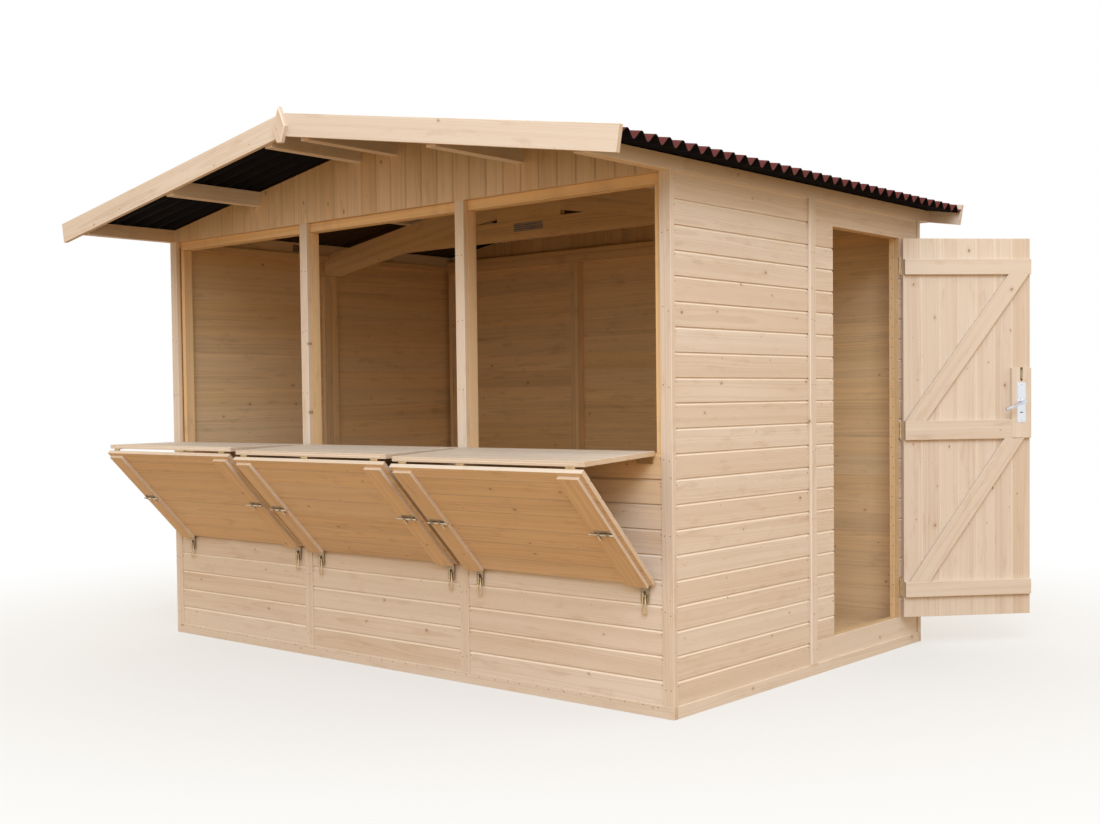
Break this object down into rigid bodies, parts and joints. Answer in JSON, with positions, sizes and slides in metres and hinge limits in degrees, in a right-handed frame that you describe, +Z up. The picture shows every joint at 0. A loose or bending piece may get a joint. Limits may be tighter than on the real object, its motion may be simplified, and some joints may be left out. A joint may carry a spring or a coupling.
{
  "type": "wooden market stall",
  "caption": "Small gabled market stall of shiplap boards with open serving hatches, fold-out shelves, a corrugated roof and a braced side door.",
  "frame": {"origin": "ground level under the middle of the walls", "axes": "+X to the right seen from the serving front, towards the wall with the door; +Y to the rear; +Z up"},
  "size_m": [3.5921, 2.7689, 2.3097],
  "materials": {
    "softwood": "planed, unpainted",
    "sill_wood": "planed, unpainted",
    "roofing": "bituminous corrugated sheet, matt dark red above, black below",
    "zinc": "bright zinc plated"
  },
  "bodies": {
    "stall": {"bargeboards": "softwood", "barrel_bolts": "zinc", "cover_strips": "softwood", "end_rails": "softwood", "end_studs": "softwood", "finials": "softwood", "flap_battens": "softwood", "flap_left": "softwood", "flap_middle": "softwood", "flap_right": "softwood", "floor_deck": "softwood", "floor_frame": "softwood", "frame_hinges": "zinc", "front_boards": "softwood", "gables": "softwood", "hasps": "zinc", "left_boards": "softwood", "nail_plates": "zinc", "opening_rails": "softwood", "purlins": "softwood", "rear_boards": "softwood", "ridge_cap": "roofing", "right_door_end_boards": "softwood", "right_door_side_boards": "softwood", "right_front_boards": "softwood", "roof_sheet_left": "roofing", "roof_sheet_right": "roofing", "shelf_left": "softwood", "shelf_middle": "softwood", "shelf_right": "softwood", "shutter_hinges": "zinc", "side_rails": "softwood", "side_studs": "softwood", "sills": "sill_wood", "snap_hooks": "zinc", "truss_block": "softwood", "truss_rafters": "softwood", "truss_tie": "softwood"},
    "door": {"door_boards": "softwood", "door_ledges": "softwood", "door_braces": "softwood", "lock_block": "softwood", "lock_plates": "zinc", "door_hinges": "zinc"},
    "handle": {"door_handle": "zinc"}
  },
  "joints": [
    {"name": "door_hinge", "type": "hinge", "parent": "stall", "child": "door", "pos_m": [1.498, 0.797, 1], "axis": [0, 0, 1], "range_deg": [-139, 21]},
    {"name": "handle_turn", "type": "hinge", "parent": "door", "child": "handle", "pos_m": [1.8725, 1.20419, 1.106], "axis": [0.7547, -0.6561, 0], "range_deg": [0, 35], "stiffness_Nm_per_rad": 0.6}
  ]
}
